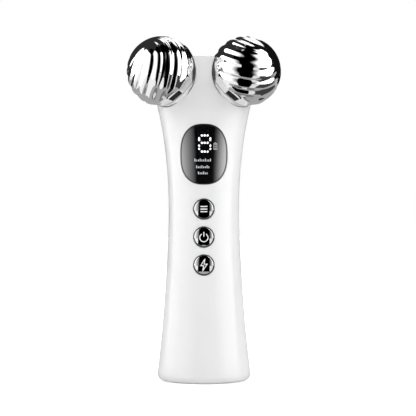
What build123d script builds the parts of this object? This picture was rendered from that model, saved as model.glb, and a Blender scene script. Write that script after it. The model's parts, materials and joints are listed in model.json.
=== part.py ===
from build123d import *
from math import atan2, cos, pi, radians, sin, sqrt
import os

# Facial toning device: a Y-shaped handle with two free-turning fluted metal rollers.
# Frame: +Z up, front towards -Y, origin at the centre of the underside. Millimetres.

# ---- Driving dimensions: handle -------------------------------------------------
waist_z = 78.2  # height of the slimmest section
shoulder_z = 128.1  # height at which the shoulder is measured
head_top_z = 150.8  # flat top between the rollers
waist_half_width = 16.65
waist_half_depth = 15.0
foot_half_width = 22.1
foot_half_depth = 19.0
shoulder_half_width = 21.75
shoulder_half_depth = 16.5
flare_power = 2.25  # how late the outline opens above the waist
nape_z = 112.0  # height above which the back leans forward
nape_lean = 11.0  # how far it has come forward at the flat top
foot_power = 1.58  # how late it opens below the waist
wall = 2.2  # shell wall
floor = 3.4  # thickness of the closed bottom
foot_edge_radius = 3.0
ridge_radius = 7.0  # rounding where the two seats meet
least_edge = 0.5
seam_gap = 0.2  # width of the shadow gap where the shells meet
seam_depth = 0.5
lip_height = 1.0  # tongue of the front shell that locates in the rear one
lip_gap = 0.1
outline_stations = 9  # sections along the loft
window_points = 24  # points on the window's outline

# ---- Driving dimensions: rollers ------------------------------------------------
ball_radius = 16.25
ball_x = 19.5  # roller centres each side of the middle
ball_z = 144.4
seat_y = -7.0  # the seats' centres lie this far in front of the parting plane
lean_out = 47.0  # degrees the spindles lean sideways from vertical
lean_forward = 24.0  # degrees they lean to the front
seat_distance = 13.3  # from roller centre back to the slanted seat
socket_gap = 0.45  # round the roller where it sits in the head
socket_rim = 3.6  # from roller centre back to the rim of its socket
flute_count = 18
flute_depth = 0.45
flute_twist = 155.0  # degrees a flute turns from the polar cap to the facets
flute_steps = 25  # latitudes that shape the flutes
valley_share = 0.34  # where the flute is deepest, as a share of its pitch
cap_angle = 20.0  # half angle of the smooth polar cap
flute_full_angle = 75.0  # polar angle from which the flutes have their full depth
flute_end_angle = 118.0  # polar angle at which the flutes run out
facet_angle = 124.0  # polar angle of the upper edge of the flat facets
base_angle = 130.0  # polar angle of the open base
facet_count = 12
facet_phase = 5.0  # degrees the facets are turned about the spindle, mirrored on the right
roller_bore = 10.1  # radius of the opening that takes the hub
cup_foot_radius = 9.6  # corners of the twelve-sided cup at its seat
cup_margin = -0.1  # from the roller's base out to the cup's rim
cup_gap = 0.3  # from the cup's rim to the roller's base
cup_floor = 1.0
cup_wall = 0.9
hub_press = 3.0  # length of the hub pressed in the roller
hub_step = 2.0  # the hub narrows by this above the press length
bore_chamfer = 1.5  # at the blind end of the roller's bore

# ---- Driving dimensions: spindles and bearings ----------------------------------
spindle_radius = 2.0
spindle_hold = 5.8  # length held in the carrier
spindle_end = 1.5  # spindle beyond its clip
spindle_chamfer = 0.5
spindle_passage = 0.3  # radial room where a spindle passes the shell
end_room = 1.0  # between the spindle's tip and the roller
contact_room = 5.1  # bare spindle between the shell and the carrier
collar_radius = 4.0
collar = 1.1
washer = 0.5
washer_radius = 3.8
end_play = 0.1
running_clearance = 0.05  # radial, spindle in bush
bush_radius = 3.6
bush_flange_radius = 4.6
bush_flange = 0.6
bush_length = 4.2
bush_spacing = 6.4  # bare length between the two bushes
clip = 0.5
clip_groove = 0.5
carrier_radius = 4.2
carrier_plate = 2.4
carrier_plate_front = 2.6  # y of the face that takes the screw heads
carrier_plate_low = 109.0
carrier_plate_half = 9.5
carrier_plate_corner = 2.0
carrier_screw_x = 6.0
carrier_screw_rise = 4.5  # from the plate's lower edge to its screws
leaf = 0.3  # thickness of the contact springs
leaf_width = 2.4
leaf_margin = 1.5  # from the shell wall along the spindle to the middle of the leaf
leaf_foot = 6.0  # length soldered to the board
leaf_rise = 4.0  # straight length above the board

# ---- Driving dimensions: controls and display -----------------------------------
mode_button_z = 80.6
power_button_z = 67.7
level_button_z = 54.8
ring_radius = 4.9
ring_wall = 0.43
ring_length = 1.1  # the rings reach this far behind the shell wall
button_clearance = 0.12
button_travel = 0.5
button_proud = 0.75
button_flange = 0.8
dome_radius = 9.3
stem_radius = 1.5
window_z = 105.9
window_half_width = 10.95
window_half_height = 14.05
window_power = 2.5  # superellipse exponent of the window outline
lens_thickness = 1.4
seal_thickness = 0.3
seal_width = 1.3
display_half_width = 7.5
display_half_height = 10.5
display_chamfer = 0.5

# ---- Driving dimensions: inside --------------------------------------------------
board_front = -7.0  # y of the face that carries the switches
board_thickness = 1.2
board_half_width = 11.0
board_low = 40.0
board_high = 119.0
board_corner = 2.5
board_screw_side = 2.8  # from the board's sides to its screws
board_screw_low = 45.0  # height of the lower pair of screws
window_boss_gap = 2.0  # from the window down to the upper pair of bosses
switch_half_width = 3.0
switch_height = 2.0
switch_chamfer = 0.6
plunger_height = 0.5
plunger_radius = 1.7
coil_half_width = 5.5
coil_depth = 8.5
coil_height = 11.0
coil_low = 95.0
coil_frame = 2.0
cell_radius = 7.1
cell_length = 50.0
cell_low = 38.0
cell_y = 3.9
cell_tip = 0.8
cell_tip_radius = 2.8
cell_edge = 0.5
cradle_wall = 1.2
cradle_rib = 4.0  # height of each rib along the cell
cradle_rib_half = 5.0
cradle_rib_inset = 4.0  # from the trough's ends to its ribs
socket_z = 14.0
socket_width = 8.94
socket_height = 3.26
socket_depth = 7.35
socket_set_back = 0.7
sleeve_wall = 0.3
socket_back = 0.8  # closed end behind the mouth
tongue_half_width = 3.35
tongue_height = 0.7
tongue_set_back = 0.8
charge_board_half_width = 8.2
charge_board_thickness = 1.0
charge_board_corner = 1.0
charge_board_margin = 0.8  # board in front of its posts
charge_board_gap = 0.6  # board behind the wall
charge_post_x = 5.8
charge_post_y = 4.5

# ---- Driving dimensions: fastening -----------------------------------------------
screw_radius = 0.8
screw_head_radius = 1.8
screw_head = 1.2
screw_shank = 5.8
screw_chamfer = 0.4
screw_clearance = 0.3  # radial, in the boards and the bracket
boss_radius = 2.2
plate_boss_radius = 2.4
rim_land = 2.0  # width of the shell's own ring on the underside
plate_thickness = 1.8
plate_screw_x = 9.5
plate_screw_y = 7.5
plate_screw_head = 1.9
plate_screw_depth = 7.0
plate_boss_top = 9.0
screw_sink = 0.15  # countersunk heads lie this far inside the plate
screw_lip = 0.2  # straight edge of a countersunk head
fit = 0.15  # gap between pieces that are placed side by side
skin_gap = 0.1  # gap between an inner piece and the shell wall

reach = 60.0  # more than any half width, for cutting tools
overlap = 1.0  # cutting tools reach this far beyond a face
button_heights = {"mode": mode_button_z, "power": power_button_z, "level": level_button_z}
UP = (Align.CENTER, Align.CENTER, Align.MIN)


# ---- Reference geometry ---------------------------------------------------------
def half_sizes(z):
    """Half width of the handle at height z, and its depth in front of the parting plane."""
    if z >= waist_z:
        share = ((z - waist_z) / (shoulder_z - waist_z)) ** flare_power
        end_width, end_depth = shoulder_half_width, shoulder_half_depth
    else:
        share = ((waist_z - z) / waist_z) ** foot_power
        end_width, end_depth = foot_half_width, foot_half_depth
    return (
        waist_half_width + share * (end_width - waist_half_width),
        waist_half_depth + share * (end_depth - waist_half_depth),
    )


def spindle_axis(side):
    """Unit vector along a spindle, outwards; side is -1 for left and 1 for right."""
    out, forward = radians(lean_out), radians(lean_forward)
    return Vector(side * sin(out) * cos(forward), -sin(forward), cos(out) * cos(forward))


def ball_centre(side):
    """Roller centre, in front of and above the centre of its seat."""
    return Vector(side * ball_x, seat_y - seat_distance * sin(radians(lean_forward)), ball_z)


def roller_plane(side):
    """Roller frame: origin at the ball's centre, local Z outwards along the spindle."""
    axis = spindle_axis(side)
    return Plane(origin=ball_centre(side), x_dir=Vector(0, 0, 1).cross(axis), z_dir=axis)


def along(plane, low, high, radius):
    """Cylinder on a plane's normal from offset low to offset high."""
    return extrude(plane.offset(low) * Circle(radius), amount=high - low)


def front_plane(z, y=0.0):
    """Plane at height z whose normal points to the front."""
    return Plane(origin=(0, y, z), x_dir=(1, 0, 0), z_dir=(0, -1, 0))


def block(x_range, y_range, z_range):
    """Box between two corners."""
    (x0, x1), (y0, y1), (z0, z1) = x_range, y_range, z_range
    middle = ((x0 + x1) / 2, (y0 + y1) / 2, (z0 + z1) / 2)
    return Pos(*middle) * Box(x1 - x0, y1 - y0, z1 - z0)


def roof(inset, distance, ridge_edge):
    """Prism below two slanted planes at a distance from the roller centres, with a rounded ridge."""
    axis = spindle_axis(1)
    seat = ball_centre(1) - axis * distance
    steep = sqrt(axis.Y**2 + axis.Z**2)
    tilt = atan2(-axis.Y, axis.Z)
    apex_z = seat.Z + (axis.X * seat.X + axis.Y * seat.Y) / axis.Z
    apex = -inset / steep
    eave = apex - reach * axis.X / steep
    deep = -2 * head_top_z
    outline = Polyline((0, apex), (reach, eave), (reach, deep), (-reach, deep), (-reach, eave), close=True)
    section = make_face(outline)
    ridge = section.vertices().sort_by(Axis.Y)[-1]
    section = fillet(ridge, ridge_edge)
    across = Plane(origin=(0, 0, apex_z), x_dir=(1, 0, 0), z_dir=(0, -cos(tilt), -sin(tilt)))
    return extrude(across * section, amount=head_top_z, both=True)


def back_depth(z):
    """Depth of the handle behind the parting plane: the head's back leans forward."""
    lean = max(0.0, (z - nape_z) / (head_top_z - nape_z))
    return half_sizes(z)[1] - nape_lean * lean**2


def handle_blank(inset, bottom=0.0):
    """The handle's outline moved inwards by inset, from height bottom to the flat top."""
    top = head_top_z - inset
    heights = [bottom + (top - bottom) * i / (outline_stations - 1) for i in range(outline_stations)]
    sections = []
    for z in heights:
        half_width, front = half_sizes(z)
        back = back_depth(z)
        section = Ellipse(half_width - inset, (front + back) / 2 - inset)
        sections.append(Plane.XY.offset(z) * Pos(0, (back - front) / 2) * section)
    return loft(sections)


def handle_form(inset, bottom=0.0):
    """The blank below the two slanted seats."""
    return handle_blank(inset, bottom) & roof(inset, seat_distance, max(ridge_radius - inset, least_edge))


def outer_form():
    """The handle's outside, with a round socket for each roller down to its seat."""
    form = handle_blank(0) & roof(0, socket_rim, least_edge)
    for side in (-1, 1):
        plane = roller_plane(side)
        form -= (plane * Sphere(ball_radius + socket_gap)) & along(plane, -seat_distance, reach, reach)
    return form


def superellipse(half_width, half_height, power):
    """Closed face of |x/a|^n + |y/b|^n = 1."""
    outline = []
    for i in range(window_points):
        angle = 2 * pi * i / window_points
        c, s = cos(angle), sin(angle)
        x = half_width * abs(c) ** (2 / power) * (1 if c >= 0 else -1)
        y = half_height * abs(s) ** (2 / power) * (1 if s >= 0 else -1)
        outline.append((x, y))
    return make_face(Spline(*outline, periodic=True))


def window_prism(inset):
    """Prism through the front wall with the outline of the display window."""
    face = superellipse(window_half_width - inset, window_half_height - inset, window_power)
    return extrude(front_plane(window_z) * face, amount=reach)


def floor_ellipse(inset):
    """The flat of the underside, inside the rounded lower edge, made smaller by inset."""
    half_width, half_depth = half_sizes(0)
    return Ellipse(half_width - foot_edge_radius - inset, half_depth - foot_edge_radius - inset)


FORM = handle_form(0)
LENS_BACK = handle_form(lens_thickness)
LEDGE = handle_form(lens_thickness + seal_thickness)
CAVITY = handle_form(wall, floor)
INNER = handle_form(wall + skin_gap, floor + skin_gap)

board_back = board_front + board_thickness
plate_screws = [(x, y) for x in (-plate_screw_x, plate_screw_x) for y in (-plate_screw_y, plate_screw_y)]
board_screw_high = window_z - window_half_height - boss_radius - window_boss_gap
board_screw_x = board_half_width - board_screw_side
board_screw_places = [(x, z) for x in (-board_screw_x, board_screw_x) for z in (board_screw_low, board_screw_high)]
carrier_seat = carrier_plate_front + carrier_plate
carrier_screw_places = [(x, carrier_plate_low + carrier_screw_rise) for x in (-carrier_screw_x, carrier_screw_x)]
charge_board_top = socket_z - socket_height / 2
charge_post_places = [(-charge_post_x, charge_post_y), (charge_post_x, charge_post_y)]


def screw_bore(clamped):
    """Depth of the pilot bore behind a clamped thickness."""
    return screw_shank - clamped + fit


# ---- Shells ---------------------------------------------------------------------
def rounded_form():
    """The handle's outside with its foot rounded."""
    form = outer_form()
    foot = form.edges().group_by(Axis.Z)[0]
    return fillet(foot, foot_edge_radius)


def shell_body():
    """Both shells as one hollow body, before it is parted at y = 0."""
    body = rounded_form() - CAVITY
    body -= extrude(floor_ellipse(rim_land), amount=plate_thickness)
    body -= seam_groove()
    for side in (-1, 1):
        body -= along(roller_plane(side), -seat_distance - 3 * wall, -seat_distance + wall, spindle_radius + spindle_passage)
    for x, y in plate_screws:
        boss = Pos(x, y, plate_thickness) * Cylinder(plate_boss_radius, plate_boss_top - plate_thickness, align=UP)
        body += boss
        body -= Pos(x, y, plate_thickness) * Cylinder(screw_radius, plate_screw_depth, align=UP)
    return body


def seam_groove():
    """Shadow gap that runs round the parting plane."""
    slab = block((-reach, reach), (-seam_gap / 2, seam_gap / 2), (-overlap, 4 * reach))
    return slab - handle_form(seam_depth, -2 * overlap)


def seam_band(inset, height):
    """Inner part of the shell wall, from the parting plane backwards."""
    return (handle_form(inset) - CAVITY) & block((-reach, reach), (0, height), (floor, 4 * reach))


def front_shell(body):
    """Front half with the locating tongue, the window seat, the button holes and the board bosses."""
    shell = body & block((-reach, reach), (-reach, 0), (-overlap, 4 * reach))
    shell += seam_band(wall / 2 + lip_gap, lip_height)
    for x, z in board_screw_places:
        boss = extrude(front_plane(z, board_front) * Pos(x, 0) * Circle(boss_radius), amount=reach)
        shell += boss & LEDGE
        shell -= extrude(front_plane(z, board_front) * Pos(x, 0) * Circle(screw_radius), amount=screw_bore(board_thickness))
    shell -= window_prism(0) - LEDGE
    shell -= window_prism(seal_width)
    for z in button_heights.values():
        shell -= extrude(front_plane(z) * Circle(ring_radius), amount=reach)
    return shell


def rear_shell(body):
    """Rear half with the charge port, its board posts and the carrier bosses."""
    shell = body & block((-reach, reach), (0, reach), (-overlap, 4 * reach))
    shell -= seam_band(wall / 2, lip_height + lip_gap)
    for x, z in carrier_screw_places:
        seat = front_plane(z, carrier_seat) * Pos(x, 0)
        shell += extrude(seat * Circle(boss_radius), amount=-reach) & LEDGE
        shell -= extrude(seat * Circle(screw_radius), amount=-screw_bore(carrier_plate))
    post_top = charge_board_top - charge_board_thickness
    for x, y in charge_post_places:
        shell += Pos(x, y, floor / 2) * Cylinder(boss_radius, post_top - floor / 2, align=UP)
        bore = screw_bore(charge_board_thickness)
        shell -= Pos(x, y, post_top - bore) * Cylinder(screw_radius, bore, align=UP)
    port = SlotOverall(socket_width + 2 * fit, socket_height + 2 * fit)
    shell -= extrude(front_plane(socket_z) * port, amount=-reach)
    return shell


def base_plate():
    """Flat cover that ties both shells together from below."""
    plate = extrude(floor_ellipse(rim_land + fit), amount=plate_thickness - skin_gap)
    for x, y in plate_screws:
        plate -= Pos(x, y, 0) * base_screw_form(fit)
    return plate


def base_screw_form(grow):
    """Countersunk screw, or with grow the hole that takes it."""
    head = plate_screw_head + grow
    shank = screw_radius + grow
    sink = 0 if grow else screw_sink
    lip = screw_sink + screw_lip
    profile = Polyline(
        (0, sink),
        (head, sink),
        (head, lip),
        (shank, lip + plate_screw_head - screw_radius),
        (shank, plate_screw_depth),
        (0, plate_screw_depth),
        close=True,
    )
    return revolve(Plane.XZ * make_face(profile), Axis.Z)


def base_screws():
    """Four countersunk screws in the base plate."""
    return [Pos(x, y, 0) * base_screw_form(0) for x, y in plate_screws]


def pan_screw(place):
    """Pan-head screw whose head sits on the given plane and whose shank goes down its normal."""
    head = extrude(place * Circle(screw_head_radius), amount=screw_head)
    head = chamfer(head.edges().group_by(Axis(place.origin, place.z_dir))[-1], screw_chamfer)
    return head + extrude(place * Circle(screw_radius), amount=-screw_shank)


def chassis_screws():
    """Eight like screws: four in the main board, two in the charge board, two in the carrier."""
    places = [Plane(origin=(x, board_back, z), z_dir=(0, 1, 0)) for x, z in board_screw_places]
    places += [Plane(origin=(x, y, charge_board_top), z_dir=(0, 0, 1)) for x, y in charge_post_places]
    places += [Plane(origin=(x, carrier_plate_front, z), z_dir=(0, -1, 0)) for x, z in carrier_screw_places]
    return [pan_screw(place) for place in places]


# ---- Display and controls -------------------------------------------------------
def window_lens():
    """Dark window that follows the handle's curve, flush with it."""
    return (window_prism(fit / 3) & FORM) - LENS_BACK


def window_seal():
    """Adhesive ring between the window and its ledge."""
    ring = window_prism(fit / 3) - window_prism(seal_width)
    return (ring & LENS_BACK) - LEDGE


def display_module():
    """Light-emitting display block behind the window, on the main board."""
    half_width = half_sizes(window_z)[0] - wall
    front = -(surface(window_z) - wall) * sqrt(1 - (display_half_width / half_width) ** 2) + skin_gap
    z_range = (window_z - display_half_height, window_z + display_half_height)
    case = block((-display_half_width, display_half_width), (front, board_front), z_range)
    return chamfer(case.faces().sort_by(Axis.Y)[0].edges(), display_chamfer)


def surface(z):
    """Depth of the handle's front from the parting plane on its middle line."""
    return half_sizes(z)[1]


def guide_back(z):
    """y of the inner end of a button's ring, just behind the shell wall."""
    return -surface(z) + wall + ring_length


def button_rings():
    """Three dark guide rings, pressed through the front shell and flush with it."""
    grown = handle_form(-fit)
    rings = []
    for z in button_heights.values():
        tube = Circle(ring_radius) - Circle(ring_radius - ring_wall)
        rings.append(extrude(front_plane(z, guide_back(z)) * tube, amount=reach) & grown)
    return rings


def button_cap(z):
    """Domed metal cap with a retaining flange and a stem over its switch."""
    radius = ring_radius - ring_wall - button_clearance
    apex = -surface(z) - button_proud
    flange_front = guide_back(z) + fit
    flange_back = flange_front + button_flange
    tip = board_front - switch_height - plunger_height - button_travel - fit / 2
    cap = extrude(front_plane(z, flange_front) * Circle(radius), amount=reach)
    cap = cap & (Pos(0, apex + dome_radius, z) * Sphere(dome_radius))
    flange = extrude(front_plane(z, flange_back) * Circle(ring_radius + fit), amount=button_flange)
    stem = extrude(front_plane(z, tip) * Circle(stem_radius), amount=tip - flange_back)
    return cap + flange + stem


def tact_switches():
    """Three push switches on the board, one behind each button."""
    switches = []
    for z in button_heights.values():
        half = switch_half_width
        body = block((-half, half), (board_front - switch_height, board_front), (z - half, z + half))
        body = chamfer(body.edges().filter_by(Axis.Y), switch_chamfer)
        plunger = extrude(front_plane(z, board_front - switch_height) * Circle(plunger_radius), amount=plunger_height)
        switches.append(body + plunger)
    return switches


def main_board():
    """Circuit board on the front shell's bosses, rounded at its corners."""
    board = block((-board_half_width, board_half_width), (board_front, board_back), (board_low, board_high))
    board = fillet(board.edges().filter_by(Axis.Y), board_corner)
    for x, z in board_screw_places:
        board -= extrude(front_plane(z, board_back) * Pos(x, 0) * Circle(screw_radius + screw_clearance), amount=reach)
    return board


def pulse_coil():
    """Step-up coil of the pulse circuit: a ferrite frame round its winding."""
    high = coil_low + coil_height
    back = board_back + coil_depth
    core = block((-coil_half_width, coil_half_width), (board_back, back), (coil_low, high))
    inner = coil_half_width - coil_frame
    core -= block((-inner, inner), (board_back, back), (coil_low + coil_frame, high - coil_frame))
    place = Plane(origin=(0, board_back + coil_depth / 2, coil_low + coil_frame), z_dir=(0, 0, 1))
    winding = RectangleRounded(2 * inner - 2 * fit, coil_depth - 2 * fit, coil_frame)
    return [core, extrude(place * winding, amount=coil_height - 2 * coil_frame)]


def battery_cell():
    """Cylindrical rechargeable cell with a raised positive end."""
    can = Pos(0, cell_y, cell_low) * Cylinder(cell_radius, cell_length, align=UP)
    can = fillet(can.edges(), cell_edge)
    return can + Pos(0, cell_y, cell_low + cell_length) * Cylinder(cell_tip_radius, cell_tip, align=UP)


def battery_cradle():
    """Half-round trough with closed ends that stands on ribs on the rear shell."""
    inner = cell_radius + fit
    outer = inner + cradle_wall
    low = cell_low - fit - cradle_wall
    high = cell_low + cell_length + cell_tip + fit + cradle_wall
    place = Pos(0, cell_y, low)
    trough = place * Cylinder(outer, high - low, align=UP)
    trough -= place * Pos(0, 0, cradle_wall) * Cylinder(inner, high - low - 2 * cradle_wall, align=UP)
    trough = trough & block((-reach, reach), (cell_y, reach), (0, 2 * reach))
    half = cradle_rib_half
    for rib_z in (low + cradle_rib_inset, high - cradle_rib_inset - cradle_rib):
        trough += block((-half, half), (cell_y + inner, reach), (rib_z, rib_z + cradle_rib)) & INNER
    return trough


def charge_board():
    """Small board that carries the charge socket."""
    y_back = surface(socket_z) - wall - charge_board_gap
    y_front = charge_post_y - boss_radius - charge_board_margin
    top = charge_board_top
    half = charge_board_half_width
    board = block((-half, half), (y_front, y_back), (top - charge_board_thickness, top))
    board = fillet(board.edges().filter_by(Axis.Z), charge_board_corner)
    for x, y in charge_post_places:
        board -= Pos(x, y, 0) * Cylinder(screw_radius + screw_clearance, reach, align=UP)
    return board & INNER


def charge_socket():
    """Charge port: a drawn metal sleeve, open to the rear, with a contact tongue."""
    mouth = surface(socket_z) - socket_set_back
    back = mouth - socket_depth
    place = Plane(origin=(0, back, socket_z), x_dir=(1, 0, 0), z_dir=(0, 1, 0))
    sleeve = extrude(place * SlotOverall(socket_width, socket_height), amount=socket_depth)
    room = SlotOverall(socket_width - 2 * sleeve_wall, socket_height - 2 * sleeve_wall)
    sleeve -= extrude(place.offset(socket_back) * room, amount=socket_depth)
    tongue = Rectangle(2 * tongue_half_width, tongue_height)
    return sleeve + extrude(place.offset(socket_back / 2) * tongue, amount=socket_depth - socket_back / 2 - tongue_set_back)


# ---- Roller mounting ------------------------------------------------------------
# Places along a spindle, measured outwards from the roller's centre.
cup_foot = -seat_distance
collar_low = cup_foot + cup_floor
collar_high = collar_low + collar
bush_low = collar_high + washer + end_play
hub_low = bush_low + bush_flange
outer_bush_low = bush_low + bush_length + bush_spacing
outer_bush_high = outer_bush_low + bush_length
clip_low = outer_bush_high + 2 * end_play
spindle_tip = clip_low + clip + spindle_end
roller_room = spindle_tip + end_room
carrier_face = -seat_distance - wall - contact_room
spindle_inner = carrier_face - spindle_hold


def spindle(side):
    """Steel spindle: shank in the carrier, clamping collar, bearing length, clip groove."""
    groove = spindle_radius - clip_groove
    outline = [(0, spindle_inner), (spindle_radius, spindle_inner), (spindle_radius, collar_low)]
    outline += [(collar_radius, collar_low), (collar_radius, collar_high), (spindle_radius, collar_high)]
    outline += [(spindle_radius, clip_low), (groove, clip_low), (groove, clip_low + clip)]
    outline += [(spindle_radius, clip_low + clip), (spindle_radius, spindle_tip - spindle_chamfer)]
    outline += [(spindle_radius - spindle_chamfer, spindle_tip), (0, spindle_tip)]
    profile = Plane.XZ * make_face(Polyline(*outline, close=True))
    return roller_plane(side) * revolve(profile, Axis.Z)


def spindle_carrier():
    """Bracket in the head: two spindle sockets that meet, on a plate screwed to the rear shell."""
    meeting = -ball_x / spindle_axis(1).X
    joint = ball_centre(1) + spindle_axis(1) * meeting
    bracket = Pos(0, joint.Y, joint.Z) * Sphere(carrier_radius)
    for side in (-1, 1):
        bracket += along(roller_plane(side), meeting, carrier_face, carrier_radius)
    half = carrier_plate_half
    plate = block((-half, half), (carrier_plate_front, carrier_seat), (carrier_plate_low, joint.Z))
    bracket += fillet(plate.edges().filter_by(Axis.Y), carrier_plate_corner)
    for side in (-1, 1):
        bracket -= along(roller_plane(side), spindle_inner, carrier_face + overlap, spindle_radius)
    for x, z in carrier_screw_places:
        bracket -= extrude(front_plane(z, carrier_seat) * Pos(x, 0) * Circle(screw_radius + screw_clearance), amount=reach)
    return bracket


def contact_spring(side):
    """Bronze leaf that carries the pulse from the board's back to the spindle."""
    touch = ball_centre(side) - spindle_axis(side) * (seat_distance + wall + leaf_margin)
    slope = atan2(-spindle_axis(1).Y, spindle_axis(1).Z)
    away = spindle_radius + leaf + fit
    tip = (touch.Y - away * cos(slope), touch.Z - away * sin(slope))
    low = board_high - leaf_foot
    bend = board_high + leaf_rise
    path = Polyline((board_back, low), (board_back, bend), tip)
    back = Polyline((board_back + leaf, low), (board_back + leaf, bend), (tip[0] + leaf, tip[1] - leaf))
    outline = make_face([path, back, Line(path @ 0, back @ 0), Line(path @ 1, back @ 1)])
    return extrude(Plane(origin=(touch.X - leaf_width / 2, 0, 0), x_dir=(0, 1, 0), z_dir=(1, 0, 0)) * outline, amount=leaf_width)


def facet_ring(z, corner_radius, phase):
    """Closed polygon wire of the twelve-sided forms."""
    points = []
    for i in range(facet_count):
        angle = phase + 2 * pi * i / facet_count
        points.append((corner_radius * cos(angle), corner_radius * sin(angle), z))
    return Wire.make_polygon(points)


def roller_cup(side):
    """Twelve-sided dish that stands on the seat and shrouds the roller's base."""
    rim = ball_radius * cos(radians(base_angle)) - cup_gap
    rim_corner = ball_radius * sin(radians(base_angle)) + cup_margin
    phase = -side * radians(facet_phase)
    cup = Solid.make_loft([facet_ring(cup_foot, cup_foot_radius, phase), facet_ring(rim, rim_corner, phase)], ruled=True)
    apothem = cos(pi / facet_count)
    floor_radius = cup_foot_radius * apothem - cup_wall
    rim_radius = rim_corner * apothem - cup_wall
    hollow = Polyline((0, collar_low), (floor_radius, collar_low), (rim_radius, rim), (0, rim), close=True)
    cup -= revolve(Plane.XZ * make_face(hollow), Axis.Z)
    cup -= Pos(0, 0, cup_foot) * Cylinder(spindle_radius + running_clearance, cup_floor, align=UP)
    return roller_plane(side) * cup


def ring_piece(side, low, high, inner, outer):
    """Plain ring about a spindle."""
    disc = Plane.XY.offset(low) * (Circle(outer) - Circle(inner))
    return roller_plane(side) * extrude(disc, amount=high - low)


def thrust_washer(side):
    """Slippery washer between the collar and the inner bush."""
    return ring_piece(side, collar_high, collar_high + washer, spindle_radius + running_clearance, washer_radius)


def retaining_clip(side):
    """Spring clip in the spindle's groove, open on one side."""
    disc = Circle(2 * spindle_radius - clip_groove) - Circle(spindle_radius - clip_groove + running_clearance)
    disc -= Pos(2 * spindle_radius, 0) * Rectangle(4 * spindle_radius, spindle_radius)
    return roller_plane(side) * extrude(Plane.XY.offset(clip_low) * disc, amount=clip)


def bush(side, low, flange_first):
    """Flanged plain bearing; the flange lies at its low or its high end."""
    bore = spindle_radius + running_clearance
    body = Plane.XY.offset(low) * (Circle(bush_radius) - Circle(bore))
    flange_z = low if flange_first else low + bush_length - bush_flange
    flange = Plane.XY.offset(flange_z) * (Circle(bush_flange_radius) - Circle(bore))
    return roller_plane(side) * (extrude(body, amount=bush_length) + extrude(flange, amount=bush_flange))


def roller_hub(side):
    """Moulded core that carries both bushes and is pressed into the roller."""
    outer = roller_bore - running_clearance
    pocket = bush_flange_radius + 2 * fit
    counterbore = outer_bush_high - bush_flange
    top = spindle_tip + end_play
    waist = outer - hub_step
    press = hub_low + hub_press
    outline = [(bush_radius, hub_low), (outer, hub_low), (outer, press), (waist, press + hub_step)]
    outline += [(waist, top), (pocket, top), (pocket, counterbore), (bush_radius, counterbore)]
    core = revolve(Plane.XZ * make_face(Polyline(*outline, close=True)), Axis.Z)
    return roller_plane(side) * core


# ---- Fluted roller --------------------------------------------------------------
def fluted_ring(polar, turn):
    """One latitude of the flutes: crests on the sphere, valleys below it."""
    points = []
    pitch = 2 * pi / flute_count
    height = ball_radius * cos(polar)
    opened = min(1, (polar - radians(cap_angle)) / radians(flute_full_angle - cap_angle))
    for i in range(flute_count):
        for share, depth in ((0, 0), (valley_share, flute_depth * opened)):
            angle = turn + pitch * (i + share)
            radius = ball_radius * sin(polar) - depth
            points.append((radius * cos(angle), radius * sin(angle), height))
    return points


def flat_ring(polar, turn):
    """One latitude of the facets, with as many points as a fluted ring."""
    points = []
    pitch = 2 * pi / flute_count
    side = 2 * pi / facet_count
    corner = ball_radius * sin(polar)
    for i in range(flute_count):
        for share in (0, valley_share):
            angle = pitch * (i + share)
            radius = corner * cos(side / 2) / cos(angle % side - side / 2)
            points.append((radius * cos(turn + angle), radius * sin(turn + angle), ball_radius * cos(polar)))
    return points


def quilt(rings):
    """Closed solid skinned with flat triangles between rings of like point counts."""
    faces = [Face(Wire.make_polygon(rings[0])), Face(Wire.make_polygon(rings[-1]))]
    count = len(rings[0])
    for low, high in zip(rings, rings[1:]):
        for i in range(count):
            j = (i + 1) % count
            faces.append(Face(Wire.make_polygon([low[i], low[j], high[j]])))
            faces.append(Face(Wire.make_polygon([low[i], high[j], high[i]])))
    return Solid(Shell(faces))


def flutes(phase):
    """The spiral flutes and the facets below them, as one solid in the roller frame."""
    start, end = radians(cap_angle), radians(flute_end_angle)
    rings = []
    for i in range(flute_steps):
        polar = start + (end - start) * i / (flute_steps - 1)
        turn = phase + radians(flute_twist) * (end - polar) / (end - start)
        rings.append(fluted_ring(polar, turn))
    rings.append(flat_ring(radians(facet_angle), phase))
    rings.append(flat_ring(radians(base_angle), phase))
    return quilt(rings)


def roller_shell(side):
    """Chrome roller: smooth polar cap, spiral flutes, flat facets, open base."""
    cap_z = ball_radius * cos(radians(cap_angle))
    base_z = ball_radius * cos(radians(base_angle))
    cap = Sphere(ball_radius) & block((-reach, reach), (-reach, reach), (cap_z, reach))
    shell = flutes(-side * radians(facet_phase)) + cap
    outline = [(0, base_z), (roller_bore, base_z), (roller_bore, roller_room - bore_chamfer)]
    outline += [(roller_bore - bore_chamfer, roller_room), (0, roller_room)]
    shell -= revolve(Plane.XZ * make_face(Polyline(*outline, close=True)), Axis.Z)
    return roller_plane(side) * shell


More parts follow.
